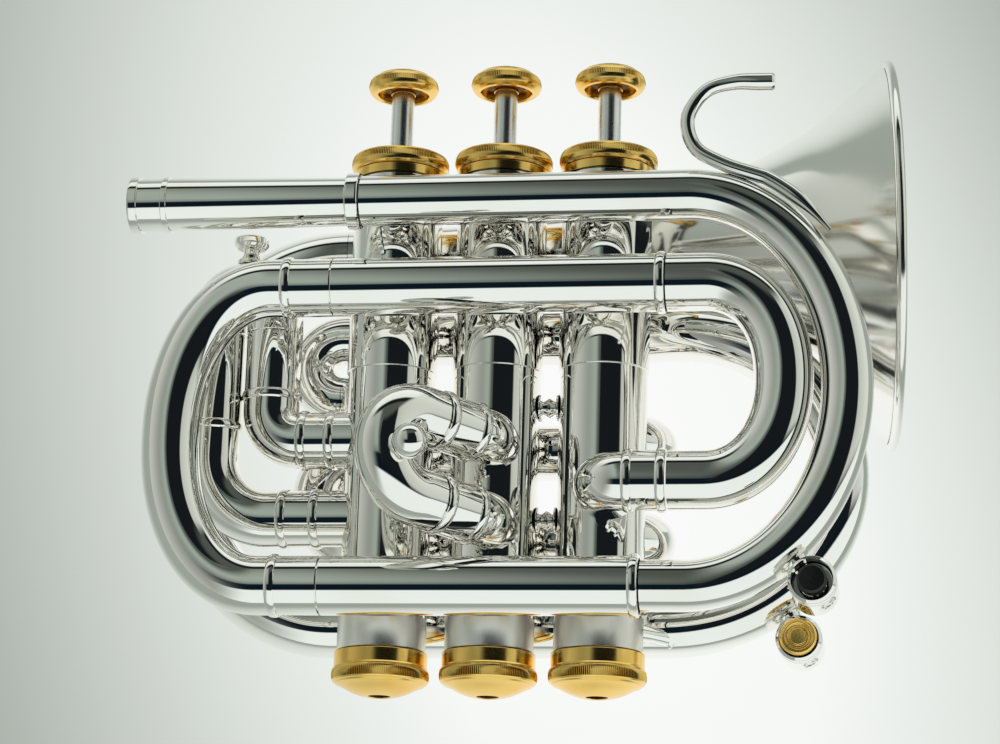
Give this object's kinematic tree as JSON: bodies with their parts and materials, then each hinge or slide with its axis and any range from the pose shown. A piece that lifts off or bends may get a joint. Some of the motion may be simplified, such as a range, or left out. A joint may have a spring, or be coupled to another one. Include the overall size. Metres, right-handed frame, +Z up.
{
  "type": "pocket trumpet",
  "caption": "Compact coiled silver trumpet with gold trim: pressing valves, sliding tuning bow and crooks, push water keys, finger hook and flared bell.",
  "frame": {"origin": "on the table, under the middle of the box round the horn as it lies at rest on the bell side", "axes": "+X from the mouthpiece end towards the bell, +Y towards the finger buttons, both tipped a little by the rest pose, and +Z up from the table towards the leadpipe side"},
  "size_m": [0.1936, 0.1608, 0.0952],
  "materials": {
    "silver_plate": "polished silver plate",
    "gold_trim": "polished gold plate, knurled rims",
    "steel": "polished steel",
    "valve_brass": "ground valve metal",
    "felt": "felt ring",
    "rubber": "satin black"
  },
  "bodies": {
    "body": {"mouthpiece_receiver": "silver_plate", "leadpipe": "silver_plate", "upper_slide_sleeve": "silver_plate", "lower_slide_sleeve": "silver_plate", "entry_bow": "silver_plate", "entry_elbow": "silver_plate", "first_slide_sleeve_inner": "silver_plate", "first_slide_sleeve_outer": "silver_plate", "second_slide_sleeve_upper": "silver_plate", "second_slide_sleeve_lower": "silver_plate", "third_slide_sleeve_upper": "silver_plate", "third_slide_sleeve_lower": "silver_plate", "bell": "silver_plate", "bell_tail": "silver_plate", "tail_elbow": "silver_plate", "casing_brace_12_upper": "silver_plate", "casing_brace_12_lower": "silver_plate", "casing_brace_23_upper": "silver_plate", "casing_brace_23_lower": "silver_plate", "leadpipe_brace": "silver_plate", "bell_brace": "silver_plate", "finger_hook": "silver_plate", "water_key_body_front": "silver_plate", "water_key_body_back": "silver_plate", "valve_casing_1": "silver_plate", "top_cap_1": "gold_trim", "bottom_cap_1": "gold_trim", "valve_guide_1": "valve_brass", "valve_spring_1": "steel", "valve_casing_2": "silver_plate", "top_cap_2": "gold_trim", "bottom_cap_2": "gold_trim", "valve_guide_2": "valve_brass", "valve_spring_2": "steel", "valve_casing_3": "silver_plate", "top_cap_3": "gold_trim", "bottom_cap_3": "gold_trim", "valve_guide_3": "valve_brass", "valve_spring_3": "steel"},
    "tuning_slide": {"tuning_slide_bow": "silver_plate", "tuning_leg_upper": "silver_plate", "tuning_leg_lower": "silver_plate"},
    "first_slide": {"first_slide_crook": "silver_plate"},
    "second_slide": {"second_slide_crook": "silver_plate"},
    "third_slide": {"third_slide_crook": "silver_plate"},
    "water_key_front": {"water_key_plunger_front": "rubber"},
    "water_key_back": {"water_key_plunger_back": "gold_trim"},
    "valve_1": {"piston_1": "valve_brass", "valve_stem_1": "steel", "finger_button_1": "gold_trim", "button_felt_1": "felt"},
    "valve_2": {"piston_2": "valve_brass", "valve_stem_2": "steel", "finger_button_2": "gold_trim", "button_felt_2": "felt"},
    "valve_3": {"piston_3": "valve_brass", "valve_stem_3": "steel", "finger_button_3": "gold_trim", "button_felt_3": "felt"}
  },
  "joints": [
    {"name": "valve_1_press", "type": "slide", "parent": "body", "child": "valve_1", "axis": [0, -0.9945, -0.1044], "range_m": [0, 0.015], "stiffness_N_per_m": 130, "springref_m": -0.016, "deforming": ["valve_spring_1"]},
    {"name": "valve_2_press", "type": "slide", "parent": "body", "child": "valve_2", "axis": [0, -0.9945, -0.1044], "range_m": [0, 0.015], "stiffness_N_per_m": 130, "springref_m": -0.016, "deforming": ["valve_spring_2"]},
    {"name": "valve_3_press", "type": "slide", "parent": "body", "child": "valve_3", "axis": [0, -0.9945, -0.1044], "range_m": [0, 0.015], "stiffness_N_per_m": 130, "springref_m": -0.016, "deforming": ["valve_spring_3"]},
    {"name": "tuning_slide_pull", "type": "slide", "parent": "body", "child": "tuning_slide", "axis": [-0.9635, 0.0279, -0.2661], "range_m": [0, 0.03]},
    {"name": "first_slide_pull", "type": "slide", "parent": "body", "child": "first_slide", "axis": [0, 0.9945, 0.1044], "range_m": [0, 0.012]},
    {"name": "second_slide_pull", "type": "slide", "parent": "body", "child": "second_slide", "axis": [-0.901, 0.0756, 0.4271], "range_m": [0, 0.0075]},
    {"name": "third_slide_pull", "type": "slide", "parent": "body", "child": "third_slide", "axis": [-0.9635, 0.0279, -0.2661], "range_m": [0, 0.015]},
    {"name": "water_key_front_press", "type": "slide", "parent": "body", "child": "water_key_front", "axis": [0.2676, 0.1006, -0.9583], "range_m": [0, 0.002], "stiffness_N_per_m": 500, "springref_m": -0.002},
    {"name": "water_key_back_press", "type": "slide", "parent": "body", "child": "water_key_back", "axis": [0.2676, 0.1006, -0.9583], "range_m": [0, 0.002], "stiffness_N_per_m": 500, "springref_m": -0.002}
  ]
}
